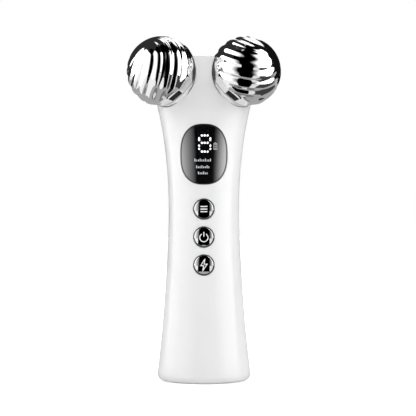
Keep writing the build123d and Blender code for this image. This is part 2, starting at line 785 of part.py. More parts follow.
# ---- Assembly -------------------------------------------------------------------
def assembly():
    """Every sub-part by node name."""
    body = shell_body()
    parts = {
        "front_shell": front_shell(body),
        "rear_shell": rear_shell(body),
        "base_plate": base_plate(),
        "base_screws": base_screws(),
        "chassis_screws": chassis_screws(),
        "window_lens": window_lens(),
        "window_seal": window_seal(),
        "display_module": display_module(),
        "button_rings": button_rings(),
        "tact_switches": tact_switches(),
        "main_board": main_board(),
        "pulse_coil": pulse_coil(),
        "battery_cell": battery_cell(),
        "battery_cradle": battery_cradle(),
        "charge_board": charge_board(),
        "charge_socket": charge_socket(),
        "spindle_carrier": spindle_carrier(),
    }
    for name, z in button_heights.items():
        parts[f"{name}_button"] = button_cap(z)
    for word, side in (("left", -1), ("right", 1)):
        parts[f"spindle_{word}"] = spindle(side)
        parts[f"contact_spring_{word}"] = contact_spring(side)
        parts[f"roller_cup_{word}"] = roller_cup(side)
        parts[f"thrust_washer_{word}"] = thrust_washer(side)
        parts[f"retaining_clip_{word}"] = retaining_clip(side)
        parts[f"inner_bush_{word}"] = bush(side, bush_low, True)
        parts[f"outer_bush_{word}"] = bush(side, outer_bush_low, False)
        parts[f"roller_hub_{word}"] = roller_hub(side)
        parts[f"roller_shell_{word}"] = roller_shell(side)
    return parts


os.makedirs("parts", exist_ok=True)
for name, shape in assembly().items():
    solids = [solid for piece in (shape if isinstance(shape, list) else [shape]) for solid in piece.solids()]
    export_step(Compound(solids), f"parts/{name}.step")
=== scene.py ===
import json
from math import asin, cos, pi, radians, sin, sqrt

import bmesh
import bpy
from mathutils import Matrix, Vector
from mathutils.bvhtree import BVHTree


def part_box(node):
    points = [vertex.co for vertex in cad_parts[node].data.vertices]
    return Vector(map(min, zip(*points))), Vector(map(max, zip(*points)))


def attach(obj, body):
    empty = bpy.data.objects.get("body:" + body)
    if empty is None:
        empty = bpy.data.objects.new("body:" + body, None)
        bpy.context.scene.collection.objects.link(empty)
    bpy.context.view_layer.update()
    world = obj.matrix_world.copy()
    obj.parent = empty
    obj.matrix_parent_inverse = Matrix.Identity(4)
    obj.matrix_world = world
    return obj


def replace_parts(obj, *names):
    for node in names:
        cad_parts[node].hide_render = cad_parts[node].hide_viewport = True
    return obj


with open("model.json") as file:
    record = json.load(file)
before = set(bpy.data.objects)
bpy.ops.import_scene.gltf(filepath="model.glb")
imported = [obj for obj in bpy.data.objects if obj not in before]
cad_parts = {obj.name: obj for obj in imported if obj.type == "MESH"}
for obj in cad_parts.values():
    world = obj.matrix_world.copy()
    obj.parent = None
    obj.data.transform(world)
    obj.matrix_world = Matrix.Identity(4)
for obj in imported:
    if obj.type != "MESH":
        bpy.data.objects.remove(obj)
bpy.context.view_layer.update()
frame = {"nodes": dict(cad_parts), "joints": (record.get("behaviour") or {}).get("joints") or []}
nodes = frame["nodes"]
MM = 0.001


# ---- Camera ------------------------------------------------------------------------
# It looks straight at the front from 620 mm away, at about the middle of the device's
# height.
scene = bpy.context.scene
scene.view_settings.view_transform = "Standard"
camera_distance = 0.62
camera_x, camera_z = 0.0019, 0.0811
sensor_width = 36.0
frame_pixels = 416
metres_per_pixel = 0.0004728  # at the device's axis

camera_data = bpy.data.cameras.new("studio_camera")
camera_data.lens = sensor_width * camera_distance / (frame_pixels * metres_per_pixel)
camera = bpy.data.objects.new("studio_camera", camera_data)
camera.location = (camera_x, -camera_distance, camera_z)
camera.rotation_euler = (pi / 2, 0, 0)
scene.collection.objects.link(camera)
scene.camera = camera


# ---- Air and floor -----------------------------------------------------------------
# A white surround and a pale floor, both white to the camera. Polished faces see the
# surround white and the floor dimmer, and little of their glow falls on the object.
air_level = 0.17
floor_reach = 3.0
floor_glow_start, floor_glow_full = 0.03, 0.30  # distances from the device's axis
floor_glow_least = 0.40
floor_glow_mirrored = 0.3


class Rule:
    """Short way to write sums in a node tree."""

    def __init__(self, tree):
        self.tree = tree

    def node(self, kind, **settings):
        """New node with its settings."""
        made = self.tree.nodes.new(kind)
        for key, value in settings.items():
            setattr(made, key, value)
        return made

    def put(self, socket, value):
        """Gives a socket a number or another node's output."""
        if hasattr(value, "is_output"):
            self.tree.links.new(value, socket)
        else:
            socket.default_value = value

    def sum(self, operation, *values):
        """Result of one Math node."""
        made = self.node("ShaderNodeMath", operation=operation)
        for socket, value in zip(made.inputs, values):
            self.put(socket, value)
        return made.outputs[0]

    def plus(self, a, b):
        return self.sum("ADD", a, b)

    def minus(self, a, b):
        return self.sum("SUBTRACT", a, b)

    def times(self, a, b):
        return self.sum("MULTIPLY", a, b)

    def span(self, value, low, high, kind="LINEAR", to=(0.0, 1.0)):
        """Goes from to[0] at low to to[1] at high, and is held beyond."""
        made = self.node("ShaderNodeMapRange", interpolation_type=kind)
        labels = ("Value", "From Min", "From Max", "To Min", "To Max")
        for label, given in zip(labels, (value, low, high, *to)):
            self.put(made.inputs[label], given)
        return made.outputs["Result"]

    def mix(self, share, a, b):
        """a where share is 0, b where it is 1."""
        return self.plus(a, self.times(share, self.minus(b, a)))

    def vector(self, x, y, z):
        """Three numbers as one vector."""
        made = self.node("ShaderNodeCombineXYZ")
        for socket, value in zip(made.inputs, (x, y, z)):
            self.put(socket, value)
        return made.outputs[0]


def new_material(name):
    """New material, the rule of its tree and its Principled shader's inputs."""
    material = bpy.data.materials.new(name)
    material.use_nodes = True
    return material, Rule(material.node_tree), material.node_tree.nodes["Principled BSDF"].inputs


def studio_sheet(name, corners, faces):
    """Sheet that belongs to the studio and not to the object."""
    mesh = bpy.data.meshes.new(name)
    mesh.from_pydata(corners, [], faces)
    sheet = bpy.data.objects.new(name, mesh)
    scene.collection.objects.link(sheet)
    return sheet


world = bpy.data.worlds.new("studio_air")
world.use_nodes = True
scene.world = world
rule = Rule(world.node_tree)
rays = rule.node("ShaderNodeLightPath").outputs
seen = rule.sum("MAXIMUM", rays["Is Camera Ray"], rays["Is Glossy Ray"])
seen = rule.sum("MAXIMUM", seen, rays["Is Transmission Ray"])
backdrop = world.node_tree.nodes["Background"].inputs
backdrop["Color"].default_value = (1.0, 1.0, 1.0, 1.0)
rule.put(backdrop["Strength"], rule.span(seen, 0.0, 1.0, to=(air_level, 1.0)))

floor_corners = [(x * floor_reach, y * floor_reach, 0) for x, y in ((-1, -1), (1, -1), (1, 1), (-1, 1))]
floor_sheet = studio_sheet("studio_floor", floor_corners, [(0, 1, 2, 3)])
floor_white, rule, shader = new_material("floor_white")
shader["Base Color"].default_value = (0.9, 0.9, 0.9, 1)
shader["Roughness"].default_value = 0.6
shader["Specular IOR Level"].default_value = 0.2
shader["Emission Color"].default_value = (1, 1, 1, 1)
rays = rule.node("ShaderNodeLightPath").outputs
seen = rule.sum("MAXIMUM", rays["Is Camera Ray"], rule.times(rays["Is Glossy Ray"], floor_glow_mirrored))
away = rule.node("ShaderNodeVectorMath", operation="LENGTH")
rule.put(away.inputs[0], rule.node("ShaderNodeTexCoord").outputs["Object"])
glow = rule.span(away.outputs["Value"], floor_glow_start, floor_glow_full, "SMOOTHSTEP",
                 to=(floor_glow_least, 1.0))
rule.put(shader["Emission Strength"], rule.times(seen, glow))
floor_sheet.data.materials.append(floor_white)


# ---- Light panels ------------------------------------------------------------------
# Curved soft boxes round the rollers. Three only light the object; two are only mirrored
# by polished faces, where their faded edges draw soft bands; a small one behind does both.
tent_height = 0.14


def tent_panel(name, azimuths, elevations, distance, steps=12):
    """Curved sheet round the rollers, in degrees; azimuth 0 is in front, positive to the right."""
    corners, faces, shares = [], [], []
    for j in range(steps + 1):
        for i in range(steps + 1):
            turn = radians(azimuths[0] + (azimuths[1] - azimuths[0]) * i / steps)
            rise = radians(elevations[0] + (elevations[1] - elevations[0]) * j / steps)
            level = distance * cos(rise)
            corners.append((level * sin(turn), -level * cos(turn), tent_height + distance * sin(rise)))
            shares.append((i / steps, j / steps))
    for j in range(steps):
        for i in range(steps):
            k = j * (steps + 1) + i
            faces.append((k, k + 1, k + steps + 2, k + steps + 1))
    sheet = studio_sheet(name, corners, faces)
    uv = sheet.data.uv_layers.new(name="face")
    for loop in sheet.data.loops:
        uv.data[loop.index].uv = shares[loop.vertex_index]
    return sheet


def glowing(sheet):
    """Makes a sheet a lamp that the camera can't see; returns its rule and strength socket."""
    material = bpy.data.materials.new(sheet.name)
    material.use_nodes = True
    rule = Rule(material.node_tree)
    rule.tree.nodes.remove(rule.tree.nodes["Principled BSDF"])
    lamp = rule.node("ShaderNodeEmission")
    rule.put(rule.tree.nodes["Material Output"].inputs["Surface"], lamp.outputs[0])
    sheet.data.materials.append(material)
    sheet.visible_camera = False
    sheet.visible_shadow = False
    return rule, lamp.inputs["Strength"]


def soft_box(name, azimuths, elevations, distance, strength, fades,
             lights=True, mirrored=True, fall="LINEAR"):
    """Lamp that fades over shares of its width and height: at its left, right, lower, upper edge."""
    sheet = tent_panel(name, azimuths, elevations, distance)
    rule, socket = glowing(sheet)
    parts = rule.node("ShaderNodeSeparateXYZ")
    rule.put(parts.inputs[0], rule.node("ShaderNodeUVMap", uv_map="face").outputs["UV"])
    left, right, lower, upper = fades
    power = strength
    for axis, edge, inner in (("X", 0, left), ("X", 1, 1 - right), ("Y", 0, lower), ("Y", 1, 1 - upper)):
        power = rule.times(rule.span(parts.outputs[axis], edge, inner, fall), power)
    rule.put(socket, power)
    sheet.visible_diffuse = lights
    sheet.visible_glossy = mirrored


even_fades = (0.1, 0.1, 0.1, 0.1)
soft_box("light_left", (-104, -20), (4, 56), 0.60, 2.45, even_fades, mirrored=False)
soft_box("light_right", (20, 104), (4, 56), 0.60, 2.7, even_fades, mirrored=False)
soft_box("light_back", (125, 235), (5, 60), 0.70, 1.6, even_fades, mirrored=False)
soft_box("soft_box_left", (-114, -20), (-40, 51), 0.58, 3.2, (0.03, 0.62, 0.03, 0.05), lights=False)
soft_box("soft_box_right", (22, 94), (-40, 58), 0.58, 3.0, (0.58, 0.05, 0.03, 0.05), lights=False,
         fall="SMOOTHSTEP")
soft_box("soft_box_back", (118, 194), (48, 76), 0.90, 1.5, even_fades)


# ---- Cards -------------------------------------------------------------------------
# A dark tent beyond the soft boxes, and dark, grey and pale cards that lie on the floor.
# Only reflections see them; they give the chrome and the window their bands.
tent_distance = 1.8
tent_elevations = (-6, 88)


def card(sheet, tone):
    """Makes a sheet a card of one tone that only reflections see."""
    _, socket = glowing(sheet)
    socket.default_value = tone
    sheet.visible_diffuse = False


def floor_card(name, azimuths, reach, height, tone, steps=8):
    """Card that lies round the device, from the nearer to the farther reach."""
    corners = []
    for i in range(steps + 1):
        turn = radians(azimuths[0] + (azimuths[1] - azimuths[0]) * i / steps)
        corners += [(distance * sin(turn), -distance * cos(turn), height) for distance in reach]
    faces = [(2 * i, 2 * i + 1, 2 * i + 3, 2 * i + 2) for i in range(steps)]
    card(studio_sheet(name, corners, faces), tone)


card(tent_panel("tent_front", (-60, 60), tent_elevations, tent_distance), 0.0)
card(tent_panel("tent_left", (-180, -60), tent_elevations, tent_distance), 0.028)
card(tent_panel("tent_right", (60, 164), tent_elevations, tent_distance), 0.006)
floor_card("floor_card_front", (-25, 24), (0.10, 1.85), 0.003, 0.0)
floor_card("floor_card_left", (-120, -25), (0.14, 0.60), 0.002, 0.95)
floor_card("floor_card_front_right", (24, 47), (0.10, 0.50), 0.002, 0.8)
floor_card("floor_card_right", (47, 115), (0.12, 0.9), 0.002, 0.05)
floor_card("floor_card_under", (-180, 180), (0.0, 0.9), 0.001, 0.40, steps=32)
# A darker disc round the device's foot: painted shadow of the device, as reflections see it.
floor_card("floor_card_painted_shadow", (-180, 180), (0.0, 0.065), 0.0015, 0.20, steps=32)


# ---- Handle shells -----------------------------------------------------------------
# Two moulded shells of glossy white plastic, parted on the sides and screwed together
# from below. The tool's polish leaves a faint ripple and tiny changes of gloss.
cloud_scale = 90.0  # clouds for each metre
cloud_low, cloud_high = 0.3, 0.7
gloss_spread = 0.15
ripple_depth = 0.2 * MM


def moulded(name, colour, roughness, ripple_mm=1.4, ripple=0.012, spread=0.02,
            coat=0.0, metal=0.0, ior=1.46, edge_mm=0.0):
    """Moulded or plated surface: fine ripple, slight changes of tone and gloss, softened edges."""
    material, rule, shader = new_material(name)
    shader["Metallic"].default_value = metal
    shader["IOR"].default_value = ior
    shader["Coat Weight"].default_value = coat
    shader["Coat Roughness"].default_value = 0.04
    place = rule.node("ShaderNodeTexCoord").outputs["Object"]
    clouds = rule.node("ShaderNodeTexNoise")
    rule.put(clouds.inputs["Vector"], place)
    rule.put(clouds.inputs["Scale"], cloud_scale)
    rule.put(clouds.inputs["Detail"], 3.0)
    cloud = clouds.outputs["Fac"]
    tone = rule.node("ShaderNodeValToRGB")
    ends = zip(tone.color_ramp.elements, (cloud_low, cloud_high), (1 - spread, 1 + spread))
    for end, position, share in ends:
        end.position = position
        end.color = (*(min(1.0, c * share) for c in colour), 1)
    rule.put(tone.inputs["Fac"], cloud)
    rule.put(shader["Base Color"], tone.outputs["Color"])
    gloss = (roughness * (1 - gloss_spread), roughness * (1 + gloss_spread))
    rule.put(shader["Roughness"], rule.span(cloud, cloud_low, cloud_high, to=gloss))
    fine = rule.node("ShaderNodeTexNoise")
    rule.put(fine.inputs["Vector"], place)
    rule.put(fine.inputs["Scale"], 1 / (ripple_mm * MM))
    rule.put(fine.inputs["Detail"], 2.0)
    relief = rule.node("ShaderNodeBump")
    rule.put(relief.inputs["Strength"], ripple)
    rule.put(relief.inputs["Distance"], ripple_depth)
    rule.put(relief.inputs["Height"], fine.outputs["Fac"])
    if edge_mm:
        soft = rule.node("ShaderNodeBevel", samples=6)
        rule.put(soft.inputs["Radius"], edge_mm * MM)
        rule.put(relief.inputs["Normal"], soft.outputs["Normal"])
    rule.put(shader["Normal"], relief.outputs["Normal"])
    return material


def dress(node, material):
    """Gives a CAD node one material."""
    mesh = nodes[node].data
    mesh.materials.clear()
    mesh.materials.append(material)


shell_white = moulded("shell_white", (0.88, 0.88, 0.882), 0.16, ripple_mm=2.4, ripple=0.03, spread=0.006,
                      coat=0.12, ior=1.38, edge_mm=0.5)
for node in ("front_shell", "rear_shell"):
    dress(node, shell_white)


# ---- Underside ---------------------------------------------------------------------
# A flat cover of fine-textured plastic, held by four countersunk steel screws. Their
# cross recesses are cut out of the plain heads here.
screw_head_radius = 1.9 * MM
recess_mouth = (1.15 * MM, 0.24 * MM, -0.1 * MM)  # an arm's reach and half width, height in the head
recess_end = (0.5 * MM, 0.14 * MM, 1.0 * MM)
recess_arms = ((1, 0), (0, 1), (-1, 0), (0, -1))

base_matt = moulded("base_matt", (0.8, 0.8, 0.795), 0.5, ripple_mm=0.35, ripple=0.25, spread=0.015)
dress("base_plate", base_matt)
screw_steel = moulded("screw_steel", (0.6, 0.6, 0.61), 0.28, ripple_mm=0.3, ripple=0.05, spread=0.05,
                      metal=1.0)
for node in ("base_screws", "chassis_screws"):
    dress(node, screw_steel)


def finished(shape, name):
    """Plain mesh from a bmesh, which is freed."""
    mesh = bpy.data.meshes.new(name)
    shape.to_mesh(mesh)
    shape.free()
    return mesh


def placed(name, mesh, body):
    """New object for a finished mesh, riding on a body."""
    piece = bpy.data.objects.new(name, mesh)
    scene.collection.objects.link(piece)
    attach(piece, body)
    return piece


def cross_ring(shape, x, y, face, section):
    """Outline of one cross at one height, as corners of a shape."""
    reach, half_width, height = section
    ring = []
    for i, (along_x, along_y) in enumerate(recess_arms):
        next_x, next_y = recess_arms[(i + 1) % len(recess_arms)]
        for out, side in ((reach, -half_width), (reach, half_width), (half_width, half_width)):
            place = (x + along_x * out + next_x * side, y + along_y * out + next_y * side, face + height)
            ring.append(shape.verts.new(place))
    return ring


def cross_cutters(centres, face):
    """Tapering cross-shaped plugs, one for each screw head, going up from the face."""
    shape = bmesh.new()
    for x, y in centres:
        mouth, end = (cross_ring(shape, x, y, face, section) for section in (recess_mouth, recess_end))
        shape.faces.new(mouth)
        shape.faces.new(end)
        for i in range(len(mouth)):
            j = (i + 1) % len(mouth)
            shape.faces.new((mouth[i], mouth[j], end[j], end[i]))
    bmesh.ops.recalc_face_normals(shape, faces=shape.faces)
    return finished(shape, "cross_cutters")


def cut_out(name, base, cutters, material):
    """A mesh with its corners merged and other shapes taken out of it."""
    merged = bmesh.new()
    merged.from_mesh(base)
    bmesh.ops.remove_doubles(merged, verts=merged.verts, dist=0.001 * MM)
    tool = bpy.data.objects.new("cutters", cutters)
    host = bpy.data.objects.new(name, finished(merged, name))
    for item in (tool, host):
        scene.collection.objects.link(item)
    cut = host.modifiers.new("cut", "BOOLEAN")
    cut.operation = "DIFFERENCE"
    cut.solver = "EXACT"
    cut.object = tool
    result = bpy.data.meshes.new_from_object(host.evaluated_get(bpy.context.evaluated_depsgraph_get()))
    for item in (host, tool):
        spent = item.data
        bpy.data.objects.remove(item)
        bpy.data.meshes.remove(spent)
    result.name = name
    result.materials.clear()
    result.materials.append(material)
    result.shade_smooth()
    result.set_sharp_from_angle(angle=radians(30))
    return result


screws_low, screws_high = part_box("base_screws")
screw_x, screw_y = screws_high.x - screw_head_radius, screws_high.y - screw_head_radius
screw_centres = [(x, y) for x in (-screw_x, screw_x) for y in (-screw_y, screw_y)]
crossed = cut_out("cover_screws", nodes["base_screws"].data, cross_cutters(screw_centres, screws_low.z),
                  screw_steel)
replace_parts(placed("cover_screws", crossed, "handle"), "base_screws")


# ---- Display window ----------------------------------------------------------------
# A smoked, hard-coated window, flush with the handle and glued on its ledge, with a
# dark print just inside its outline, which is painted shade standing in for the lens's rounded edge.
in_front = -0.2  # y of a place in front of every piece
most_miter = 2.0  # how far a stroke's corner may reach out, in half widths
edge_inset, edge_width = 0.32 * MM, 0.42 * MM
edge_power = 0.8  # 1 would be an ellipse, 0 a rectangle

window_black = moulded("window_black", (0.004, 0.004, 0.0045), 0.035, ripple_mm=3.0, ripple=0.006,
                       spread=0.1, coat=1.0, ior=2.2)
dress("window_lens", window_black)
seal_black = moulded("seal_black", (0.02, 0.02, 0.02), 0.7, ripple=0.1)
dress("window_seal", seal_black)


def surface_of(mesh):
    """Search tree of a mesh's faces."""
    return BVHTree.FromPolygons([v.co for v in mesh.vertices], [list(f.vertices) for f in mesh.polygons])


def on_front(tree, x, z):
    """Point of a surface straight behind the front point (x, z)."""
    place, _, _, _ = tree.ray_cast(Vector((x, in_front, z)), Vector((0, 1, 0)))
    return place


def stroke(outline, width, closed=False, step=0.25 * MM):
    """Left and right rails of an even stroke along an (x, z) line, and whether it is closed."""
    line = []
    ends = list(outline) + ([outline[0]] if closed else [])
    for a, b in zip(ends, ends[1:]):
        a, b = Vector(a), Vector(b)
        count = max(1, round((b - a).length / step))
        line += [a.lerp(b, i / count) for i in range(count)]
    if not closed:
        line.append(Vector(ends[-1]))
    left, right = [], []
    for i, place in enumerate(line):
        before = line[i - 1] if closed or i else place
        after = line[(i + 1) % len(line)] if closed or i + 1 < len(line) else place
        into = (place - before).normalized() if place != before else (after - place).normalized()
        out = (after - place).normalized() if after != place else into
        across = Vector((-(into + out).y, (into + out).x)).normalized()
        miter = 1 / max(1 / most_miter, across.dot(Vector((-out.y, out.x))))
        left.append(place + across * width / 2 * miter)
        right.append(place - across * width / 2 * miter)
    return left, right, closed


def printed(name, tree, strokes, material, body, proud=0.03 * MM):
    """Thin raised print of several strokes that follows a surface."""
    shape = bmesh.new()
    for left, right, closed in strokes:
        rails = []
        for lift in (-proud, proud):
            for rail in (left, right):
                row = []
                for place in rail:
                    hit = on_front(tree, place.x, place.y)
                    row.append(shape.verts.new((hit.x, hit.y + lift, hit.z)))
                rails.append(row)
        count = len(left)
        front_left, front_right, back_left, back_right = rails
        for i in range(count if closed else count - 1):
            j = (i + 1) % count
            shape.faces.new((front_left[i], front_left[j], front_right[j], front_right[i]))
            shape.faces.new((back_left[j], back_left[i], back_right[i], back_right[j]))
            shape.faces.new((front_left[j], front_left[i], back_left[i], back_left[j]))
            shape.faces.new((front_right[i], front_right[j], back_right[j], back_right[i]))
        if not closed:
            for i in (0, count - 1):
                shape.faces.new((front_left[i], front_right[i], back_right[i], back_left[i]))
    bmesh.ops.recalc_face_normals(shape, faces=shape.faces)
    mesh = finished(shape, name)
    mesh.materials.append(material)
    placed(name, mesh, body)


window_tree = surface_of(nodes["window_lens"].data)
window_low, window_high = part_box("window_lens")
window_z = (window_low.z + window_high.z) / 2


def window_outline(inset, count=120):
    """Rounded outline inside the window's edge."""
    half_x = (window_high.x - window_low.x) / 2 - inset
    half_z = (window_high.z - window_low.z) / 2 - inset
    outline = []
    for i in range(count):
        right, up = cos(2 * pi * i / count), sin(2 * pi * i / count)
        outline.append((half_x * abs(right) ** edge_power * (1 if right >= 0 else -1),
                        window_z + half_z * abs(up) ** edge_power * (1 if up >= 0 else -1)))
    return outline


# Matt black line round the window: painted shade for the lens's rounded edge.
window_edge_shade_black = moulded("window_edge_shade_black", (0.012, 0.012, 0.013), 0.45, ripple=0.05)
printed("window_edge_painted_shade", window_tree, [stroke(window_outline(edge_inset), edge_width, closed=True)],
        window_edge_shade_black, "handle", proud=0.015 * MM)


# ---- Lit number --------------------------------------------------------------------
# Round lights that shine through the window in the pattern of a seven-bar digit. Each is
# a flattened bead on the window's face, set out by Geometry Nodes.
digit_x, digit_z = 0.38 * MM, window_z + 5.27 * MM
dot_pitch, digit_half = 1.26 * MM, 2.48 * MM
dot_radius, dot_height = 0.54 * MM, 0.035 * MM
level_rows = (-4.02, 0, 3.4)  # heights of the three level bars, in mm
upright_rows = (-2.75, -1.27, 1.3, 2.07)  # heights of the dots on each side, in mm


def lit(name, colour, strength):
    """Lit print: even colour with slight random changes of tone and gloss, glowing a little."""
    material = moulded(name, colour, 0.35, ripple=0.02, spread=0.03)
    shader = material.node_tree.nodes["Principled BSDF"].inputs
    shader["Emission Color"].default_value = (*colour, 1)
    shader["Emission Strength"].default_value = strength
    return material


def new_tree(name, inputs):
    """Geometry tree with named inputs; returns its rule and what its inputs give."""
    tree = bpy.data.node_groups.new(name, "GeometryNodeTree")
    for label, kind in inputs:
        tree.interface.new_socket(label, in_out="INPUT", socket_type=f"NodeSocket{kind}")
    tree.interface.new_socket("Geometry", in_out="OUTPUT", socket_type="NodeSocketGeometry")
    rule = Rule(tree)
    return rule, rule.node("NodeGroupInput").outputs


def end_tree(rule, geometry, finish):
    """Ends a tree with real geometry in one material."""
    real = rule.node("GeometryNodeRealizeInstances")
    rule.put(real.inputs[0], geometry)
    paint = rule.node("GeometryNodeSetMaterial")
    rule.put(paint.inputs["Geometry"], real.outputs[0])
    rule.put(paint.inputs["Material"], finish)
    rule.put(rule.node("NodeGroupOutput").inputs[0], paint.outputs[0])
    return rule.tree


def dot_tree():
    """A flattened ball on every point of the input."""
    rule, given = new_tree("lit_dots", (("Geometry", "Geometry"), ("Dot radius", "Float"),
                                        ("Dot height", "Float"), ("Finish", "Material")))
    ball = rule.node("GeometryNodeMeshUVSphere")
    rule.put(ball.inputs["Segments"], 20)
    rule.put(ball.inputs["Rings"], 8)
    rule.put(ball.inputs["Radius"], 1.0)
    spread = rule.node("GeometryNodeInstanceOnPoints")
    rule.put(spread.inputs["Points"], given["Geometry"])
    rule.put(spread.inputs["Instance"], ball.outputs["Mesh"])
    size = rule.vector(given["Dot radius"], given["Dot height"], given["Dot radius"])
    rule.put(spread.inputs["Scale"], size)
    return end_tree(rule, spread.outputs[0], given["Finish"])


def grown(name, base, tree, values):
    """Runs a node tree on a mesh with named inputs and returns the result as a plain mesh."""
    host = bpy.data.objects.new(name, base)
    scene.collection.objects.link(host)
    modifier = host.modifiers.new("rule", "NODES")
    modifier.node_group = tree
    for item in tree.interface.items_tree:
        if item.in_out == "INPUT" and item.name in values:
            modifier[item.identifier] = values[item.name]
    result = bpy.data.meshes.new_from_object(host.evaluated_get(bpy.context.evaluated_depsgraph_get()))
    host.modifiers.clear()
    bpy.data.objects.remove(host)
    result.name = name
    return result


display_white = lit("display_white", (0.95, 0.97, 1.0), 0.75)
dots = [(digit_x + i * dot_pitch, digit_z + row * MM) for i in (-1, 0, 1) for row in level_rows]
dots += [(digit_x + side * digit_half, digit_z + row * MM) for side in (-1, 1) for row in upright_rows]
dot_places = bpy.data.meshes.new("digit_places")
dot_places.from_pydata([on_front(window_tree, x, z) for x, z in dots], [], [])
digit = grown("display_digit", dot_places, dot_tree(),
              {"Dot radius": dot_radius, "Dot height": dot_height, "Finish": display_white})
digit.shade_smooth()
placed("display_digit", digit, "handle")


# ---- Battery sign and scales -------------------------------------------------------
# Faint lit marks in the window: a battery with three bars, and three rows of plain ticks
# that stand for the settings. They are thin prints on the window's face.
battery_x, battery_z = 5.3 * MM, window_z + 3.75 * MM
battery_half, battery_low, battery_high = 0.74 * MM, -1.55 * MM, 1.2 * MM
battery_line = 0.24 * MM
terminal_rise, terminal_width, terminal_height = 1.52 * MM, 0.7 * MM, 0.3 * MM
charge_rows = (-1.05, -0.2, 0.65)  # mm
charge_width, charge_height = 0.85 * MM, 0.4 * MM
tick_x, tick_z = -0.53 * MM, window_z - 0.65 * MM
tick_rows = ((-2.68, 10), (-5.78, 8), (-8.6, 6))  # height in mm and number of ticks
tick_pitch, tick_width = 0.8 * MM, 0.34 * MM
tall_tick, short_tick = 1.3 * MM, 0.85 * MM
tall_every = 3


def bar(centre_x, centre_z, width, height):
    """A short level bar as one stroke."""
    return stroke([(centre_x - width / 2, centre_z), (centre_x + width / 2, centre_z)], height)


display_grey = lit("display_grey", (0.42, 0.43, 0.44), 0.1)
battery_corners = ((-battery_half, battery_low), (battery_half, battery_low),
                   (battery_half, battery_high), (-battery_half, battery_high))
battery_outline = [(battery_x + x, battery_z + z) for x, z in battery_corners]
battery = [stroke(battery_outline, battery_line, closed=True),
           bar(battery_x, battery_z + terminal_rise, terminal_width, terminal_height)]
battery += [bar(battery_x, battery_z + row * MM, charge_width, charge_height) for row in charge_rows]
printed("display_battery", window_tree, battery, display_grey, "handle", proud=0.02 * MM)

display_marks = lit("display_marks", (0.62, 0.63, 0.65), 0.3)
ticks = []
for row, count in tick_rows:
    z = tick_z + row * MM
    for i in range(count):
        x = tick_x + (i - (count - 1) / 2) * tick_pitch
        rise = short_tick if i % tall_every else tall_tick
        ticks.append(stroke([(x, z), (x, z + rise)], tick_width))
printed("display_scale_marks", window_tree, ticks, display_marks, "handle", proud=0.02 * MM)


# ---- Buttons -----------------------------------------------------------------------
# Chrome-plated caps with a flat dome, which slide in dark guide rings pressed through the
# front shell. The switches behind them push them back.
button_names = ("mode", "power", "level")
cap_radius, cap_edge = 4.35 * MM, 0.22 * MM
dome_radius = 12.6 * MM
dome_rings, edge_rings, cap_turns = 12, 6, 96
flange_margin, back_margin = 0.05 * MM, 0.02 * MM  # how near a point lies to the rim, to the back

button_chrome = moulded("button_chrome", (0.9, 0.9, 0.905), 0.035, ripple_mm=2.0, ripple=0.004,
                        spread=0.01, metal=1.0)
ring_dark = moulded("ring_dark", (0.07, 0.071, 0.074), 0.22, ripple=0.02, spread=0.1)
dress("button_rings", ring_dark)


def cap_side(node, middle, front, back):
    """Radius and depth along a button: dome and edge, then flange and plunger as in the assembly."""
    ends = [(sqrt(v.co.x ** 2 + (v.co.z - middle) ** 2), v.co.y) for v in nodes[node].data.vertices]
    flange_radius = max(radius for radius, _ in ends)
    flange = sorted(y for radius, y in ends if radius > flange_radius - flange_margin)
    plunger_radius = max(radius for radius, y in ends if y > back - back_margin)
    land = cap_radius - cap_edge
    side = []
    for i in range(dome_rings + 1):
        radius = land * i / dome_rings
        side.append((radius, front + dome_radius - sqrt(dome_radius ** 2 - radius ** 2)))
    brow = side[-1][1]
    tilt = asin(land / dome_radius)
    for i in range(1, edge_rings + 1):
        slope = tilt + (pi / 2 - tilt) * i / edge_rings
        radius = land + cap_edge * (sin(slope) - sin(tilt)) / (1 - sin(tilt))
        side.append((radius, brow + cap_edge * (cos(tilt) - cos(slope))))
    side += [(cap_radius, flange[0]), (flange_radius, flange[0]), (flange_radius, flange[-1])]
    side += [(plunger_radius, flange[-1]), (plunger_radius, back), (0.0, back)]
    return side


def button_cap(node):
    """Turned mesh of one button."""
    low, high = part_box(node)
    middle = (low.z + high.z) / 2
    shape = bmesh.new()
    rings = []
    for radius, y in cap_side(node, middle, low.y, high.y):
        turns = [2 * pi * i / cap_turns for i in range(cap_turns if radius else 1)]
        rings.append([shape.verts.new((radius * cos(t), y, middle + radius * sin(t))) for t in turns])
    for ring, behind in zip(rings, rings[1:]):
        for i in range(cap_turns):
            j = (i + 1) % cap_turns
            if len(ring) == 1:
                shape.faces.new((ring[0], behind[i], behind[j]))
            elif len(behind) == 1:
                shape.faces.new((ring[i], behind[0], ring[j]))
            else:
                shape.faces.new((ring[i], behind[i], behind[j], ring[j]))
    bmesh.ops.recalc_face_normals(shape, faces=shape.faces)
    mesh = finished(shape, node.replace("button", "cap"))
    mesh.materials.append(button_chrome)
    mesh.shade_smooth()
    mesh.set_sharp_from_angle(angle=radians(35))
    return mesh


for name in button_names:
    cap = placed(f"{name}_cap", button_cap(f"{name}_button"), f"{name}_key")
    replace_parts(cap, f"{name}_button")


# ---- Button signs ------------------------------------------------------------------
# White prints on the caps: three bars for the mode, the common power sign, and a bolt for
# the level. They glow a little, which is painted light: the prints are no lamps.
bar_rows = (-1.2, 0, 1.2)  # mm
bar_width, bar_height = 3.2 * MM, 0.5 * MM
power_radius, power_drop, power_line = 1.9 * MM, 0.25 * MM, 0.42 * MM
power_sweep = (122, 418)  # degrees from the right, open at the top
power_post = (0.2 * MM, 2.35 * MM)
bolt_corners = ((0.45, 2.7), (-1.5, -0.25), (-0.05, -0.25), (-0.55, -2.7), (1.5, 0.45), (0.1, 0.45))  # mm
bolt_line = 0.36 * MM


def arc(x, z, radius, start, end, count=28):
    """Points along a circle, in degrees from the right, anticlockwise."""
    turn = [radians(start + (end - start) * i / count) for i in range(count + 1)]
    return [(x + radius * cos(t), z + radius * sin(t)) for t in turn]


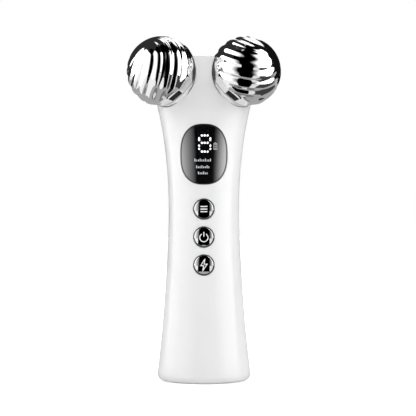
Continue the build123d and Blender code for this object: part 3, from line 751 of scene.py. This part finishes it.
def sign(name, z):
    """Strokes of one button's sign, about the height z."""
    if name == "mode":
        return [bar(0, z + row * MM, bar_width, bar_height) for row in bar_rows]
    if name == "power":
        ring = stroke(arc(0, z - power_drop, power_radius, *power_sweep), power_line)
        post = stroke([(0, z + rise) for rise in power_post], power_line)
        return [ring, post]
    return [stroke([(x * MM, z + up * MM) for x, up in bolt_corners], bolt_line, closed=True)]


# The prints' faint glow is painted light.
symbol_white = lit("symbol_white", (0.9, 0.9, 0.9), 0.08)
for name in button_names:
    low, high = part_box(f"{name}_button")
    face = surface_of(bpy.data.objects[f"{name}_cap"].data)
    printed(f"{name}_sign", face, sign(name, (low.z + high.z) / 2), symbol_white, f"{name}_key",
            proud=0.025 * MM)


# ---- Rollers -----------------------------------------------------------------------
# Cast and polished balls with spiral flutes, plated in mirror chrome, smooth at the pole
# and cut to twelve flats at the base, turning on bushes pressed in a moulded core.
roller_sides = {"left": 1, "right": -1}
ball_radius = 16.25 * MM
flats_start, base_angle = radians(116), radians(130)  # from the pole
flat_count, flat_phase = 12, radians(5)
flute_runout = radians(7)  # over which the flutes run out above the flats
flute_margin = 0.0001  # keeps a flute's start from falling just short of a whole number
crest_start = 2.5  # end of the easier flank, in valley shares
bore_radius, bore_end = 10.1 * MM, 7.6 * MM
bore_tip_radius, bore_tip = 8.6 * MM, 9.1 * MM

roller_chrome = moulded("roller_chrome", (0.9, 0.9, 0.905), 0.065, ripple_mm=2.5, ripple=0.006,
                        spread=0.01, metal=1.0)


def roller_tree():
    """A sheet wrapped round a ball, with spiral flutes and a ring of flats."""
    sizes = ("Radius", "Flutes", "Flute depth", "Valley share", "Twist", "Pole", "Full", "Flutes end",
             "Flats start", "Base", "Flats", "Phase")
    inputs = [(label, "Float") for label in sizes]
    inputs += [("Points per flute", "Int"), ("Rows", "Int"), ("Finish", "Material")]
    rule, size = new_tree("fluted_ball", inputs)
    plus, minus, times, span = rule.plus, rule.minus, rule.times, rule.span
    sheet = rule.node("GeometryNodeMeshGrid")
    rule.put(sheet.inputs["Size X"], 1.0)
    rule.put(sheet.inputs["Size Y"], 1.0)
    rule.put(sheet.inputs["Vertices X"], plus(times(size["Flutes"], size["Points per flute"]), 1.0))
    rule.put(sheet.inputs["Vertices Y"], plus(size["Rows"], 1.0))
    parts = rule.node("ShaderNodeSeparateXYZ")
    rule.put(parts.inputs[0], rule.node("GeometryNodeInputPosition").outputs[0])
    around = plus(parts.outputs["X"], 0.5)
    down = plus(parts.outputs["Y"], 0.5)
    polar = times(down, size["Base"])
    angle = times(around, 2 * pi)
    # Flute section: a steep flank down to the valley, an easier one up to a narrow crest.
    share = rule.sum("FRACT", plus(times(around, size["Flutes"]), flute_margin))
    steep = span(share, 0.0, size["Valley share"], "SMOOTHSTEP")
    gentle = span(share, times(size["Valley share"], crest_start), size["Valley share"], "SMOOTHSTEP")
    fall = rule.sum("MINIMUM", steep, gentle)
    rise = span(polar, size["Pole"], size["Full"])
    fade = span(polar, size["Flutes end"], minus(size["Flutes end"], flute_runout), "SMOOTHSTEP")
    depth = times(times(fall, size["Flute depth"]), times(rise, fade))
    turn = times(size["Twist"], span(polar, size["Flutes end"], size["Pole"]))
    azimuth = plus(plus(angle, size["Phase"]), turn)
    radius = minus(size["Radius"], depth)
    level = times(radius, rule.sum("SINE", polar))
    ball = (times(level, rule.sum("COSINE", azimuth)),
            times(level, rule.sum("SINE", azimuth)),
            times(radius, rule.sum("COSINE", polar)))
    # Flats: straight lines between the corners of two many-sided rings.
    lower = span(polar, size["Flats start"], size["Base"])
    corner, height = (rule.mix(lower, times(size["Radius"], rule.sum(kind, size["Flats start"])),
                               times(size["Radius"], rule.sum(kind, size["Base"])))
                      for kind in ("SINE", "COSINE"))
    side = rule.sum("DIVIDE", 2 * pi, size["Flats"])
    half = times(side, 0.5)
    within = minus(times(rule.sum("FRACT", times(around, size["Flats"])), side), half)
    flat = rule.sum("DIVIDE", times(corner, rule.sum("COSINE", half)), rule.sum("COSINE", within))
    facing = plus(angle, size["Phase"])
    flats = (times(flat, rule.sum("COSINE", facing)), times(flat, rule.sum("SINE", facing)), height)
    blend = span(polar, size["Flutes end"], size["Flats start"])
    wrap = rule.node("GeometryNodeSetPosition")
    rule.put(wrap.inputs["Geometry"], sheet.outputs["Mesh"])
    rule.put(wrap.inputs["Position"], rule.vector(*(rule.mix(blend, a, b) for a, b in zip(ball, flats))))
    close = rule.node("GeometryNodeMergeByDistance")
    rule.put(close.inputs["Geometry"], wrap.outputs[0])
    rule.put(close.inputs["Distance"], 0.002 * MM)
    return end_tree(rule, close.outputs[0], size["Finish"])


def close_base(mesh):
    """Turns the rim in to the bore, and ends the bore blind."""
    ball = bmesh.new()
    ball.from_mesh(mesh)
    rim = [e for e in ball.edges if e.is_boundary]
    base_height = ball_radius * cos(base_angle)
    for radius, height in ((bore_radius, base_height), (bore_radius, bore_end), (bore_tip_radius, bore_tip)):
        made = bmesh.ops.extrude_edge_only(ball, edges=rim)["geom"]
        for v in (g for g in made if isinstance(g, bmesh.types.BMVert)):
            inward = Vector((v.co.x, v.co.y, 0)).normalized() * radius
            v.co = (inward.x, inward.y, height)
        rim = [g for g in made if isinstance(g, bmesh.types.BMEdge) and g.is_boundary]
    bmesh.ops.contextual_create(ball, geom=rim)
    bmesh.ops.recalc_face_normals(ball, faces=ball.faces)
    ball.to_mesh(mesh)
    ball.free()


def roller_place(word):
    """Takes a ball from its own frame, with its pole up, to its spindle."""
    joint = next(j for j in frame["joints"] if j["name"] == f"{word}_roller_spin")
    out = Vector(joint["axis"]).normalized()
    across = Vector((0, 0, 1)).cross(out).normalized()
    turned = Matrix((across, out.cross(across), out)).transposed().to_4x4()
    return Matrix.Translation(Vector(joint["pos_m"])) @ turned


fluted_ball = roller_tree()
for word, side in roller_sides.items():
    ball = grown(f"roller_ball_{word}", bpy.data.meshes.new("seed"), fluted_ball, {
        "Radius": ball_radius,
        "Flutes": 11.0,
        "Flute depth": 0.5 * MM,
        "Valley share": 0.34,
        "Twist": radians(140),
        "Pole": radians(20),
        "Full": radians(60),
        "Flutes end": radians(110),
        "Flats start": flats_start,
        "Base": base_angle,
        "Flats": float(flat_count),
        "Phase": flat_phase * side,
        "Points per flute": 26,
        "Rows": 130,
        "Finish": roller_chrome,
    })
    close_base(ball)
    ball.transform(roller_place(word))
    ball.shade_smooth()
    ball.set_sharp_from_angle(angle=radians(24))
    piece = placed(f"roller_ball_{word}", ball, f"{word}_roller")
    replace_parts(piece, f"roller_shell_{word}")


# ---- Roller reflection patches -----------------------------------------------------
# One flat of each ball carries a thin near-black plate, let into its face: a painted dark
# reflection on the flat that looks forwards and down when the device stands at rest.
reflection_patch_corners = ((0.06, 0.08), (0.94, 0.08), (0.94, 0.92), (0.06, 0.92))  # shares of the flat
reflection_patch_lift = 0.03 * MM  # how far it stands in front of the flat, and goes in behind it
reflection_patch_aim = (0.36, -0.55, -0.75)  # for the left ball, and mirrored for the right one
half_flat = pi / flat_count

# Near-black plate on the chrome: painted dark reflection on the lower front of each ball.
inlay_black = moulded("inlay_black", (0.006, 0.006, 0.0065), 0.3, ripple=0.03, ior=1.25)


def on_flat(number, phase, across_share, down_share, lift=0.0):
    """Point of a flat in the ball's own frame, from its shares across and down."""
    radius = (1 - down_share) * sin(flats_start) + down_share * sin(base_angle)
    height = (1 - down_share) * cos(flats_start) + down_share * cos(base_angle)
    middle = phase + (2 * number + 1) * half_flat
    facing = Vector((cos(middle), sin(middle), 0))
    beside = Vector((-sin(middle), cos(middle), 0))
    pole = Vector((0, 0, 1))
    lean = (sin(flats_start) - sin(base_angle)) * cos(half_flat) / (cos(flats_start) - cos(base_angle))
    place = radius * (facing * cos(half_flat) + beside * sin(half_flat) * (2 * across_share - 1))
    return ball_radius * (place + pole * height) + (facing - pole * lean).normalized() * lift


def reflection_patch_plate(name, number, phase, place):
    """Thin plate on one flat, moved to its place."""
    shape = bmesh.new()
    sides = []
    for lift in (-reflection_patch_lift, reflection_patch_lift):
        corners = [place @ on_flat(number, phase, *shares, lift) for shares in reflection_patch_corners]
        sides.append([shape.verts.new(corner) for corner in corners])
    lower, upper = sides
    shape.faces.new(lower)
    shape.faces.new(upper)
    for i in range(len(lower)):
        j = (i + 1) % len(lower)
        shape.faces.new((lower[i], lower[j], upper[j], upper[i]))
    bmesh.ops.recalc_face_normals(shape, faces=shape.faces)
    mesh = finished(shape, name)
    mesh.materials.append(inlay_black)
    return mesh


for word, side in roller_sides.items():
    place = roller_place(word)
    phase = flat_phase * side
    aim = place.to_3x3().inverted() @ Vector((reflection_patch_aim[0] * side, *reflection_patch_aim[1:]))
    chosen = max(range(flat_count), key=lambda number: on_flat(number, phase, 0.5, 0.5).dot(aim))
    name = f"roller_inlay_{word}"
    placed(name, reflection_patch_plate(name, chosen, phase, place), f"{word}_roller")


# ---- Roller cups -------------------------------------------------------------------
# Twelve-sided dishes of white plastic, which stand on the handle's seats and shroud the
# rollers' bases.
cup_white = moulded("cup_white", (0.86, 0.86, 0.862), 0.2, ripple=0.02, spread=0.006, coat=0.3)
for word in roller_sides:
    dress(f"roller_cup_{word}", cup_white)


# ---- Inside ------------------------------------------------------------------------
# Boards, cell, coil, switches, turned spindles and plastic bearings, screwed or clipped
# in and closed in by the shells. Colour, roughness, metal and nodes of each finish:
inner_finish = {
    "board_green": ((0.02, 0.13, 0.06), 0.35, 0.0, ("main_board", "charge_board")),
    "part_black": ((0.02, 0.02, 0.022), 0.45, 0.0, ("display_module", "tact_switches")),
    "ferrite_grey": ((0.06, 0.06, 0.065), 0.5, 0.0, ("pulse_coil",)),
    "cell_blue": ((0.04, 0.12, 0.32), 0.3, 0.0, ("battery_cell",)),
    "core_grey": ((0.3, 0.3, 0.31), 0.45, 0.0,
                  ("battery_cradle", "spindle_carrier", "roller_hub_left", "roller_hub_right")),
    "turned_steel": ((0.6, 0.6, 0.61), 0.25, 1.0,
                     ("charge_socket", "spindle_left", "spindle_right",
                      "retaining_clip_left", "retaining_clip_right")),
    "spring_bronze": ((0.6, 0.36, 0.16), 0.3, 1.0, ("contact_spring_left", "contact_spring_right")),
    "bearing_white": ((0.78, 0.77, 0.72), 0.5, 0.0,
                      ("inner_bush_left", "inner_bush_right", "outer_bush_left", "outer_bush_right",
                       "thrust_washer_left", "thrust_washer_right")),
}
for name, (colour, roughness, metal, members) in inner_finish.items():
    finish = moulded(name, colour, roughness, ripple_mm=0.6, ripple=0.08, spread=0.06, metal=metal)
    for node in members:
        dress(node, finish)
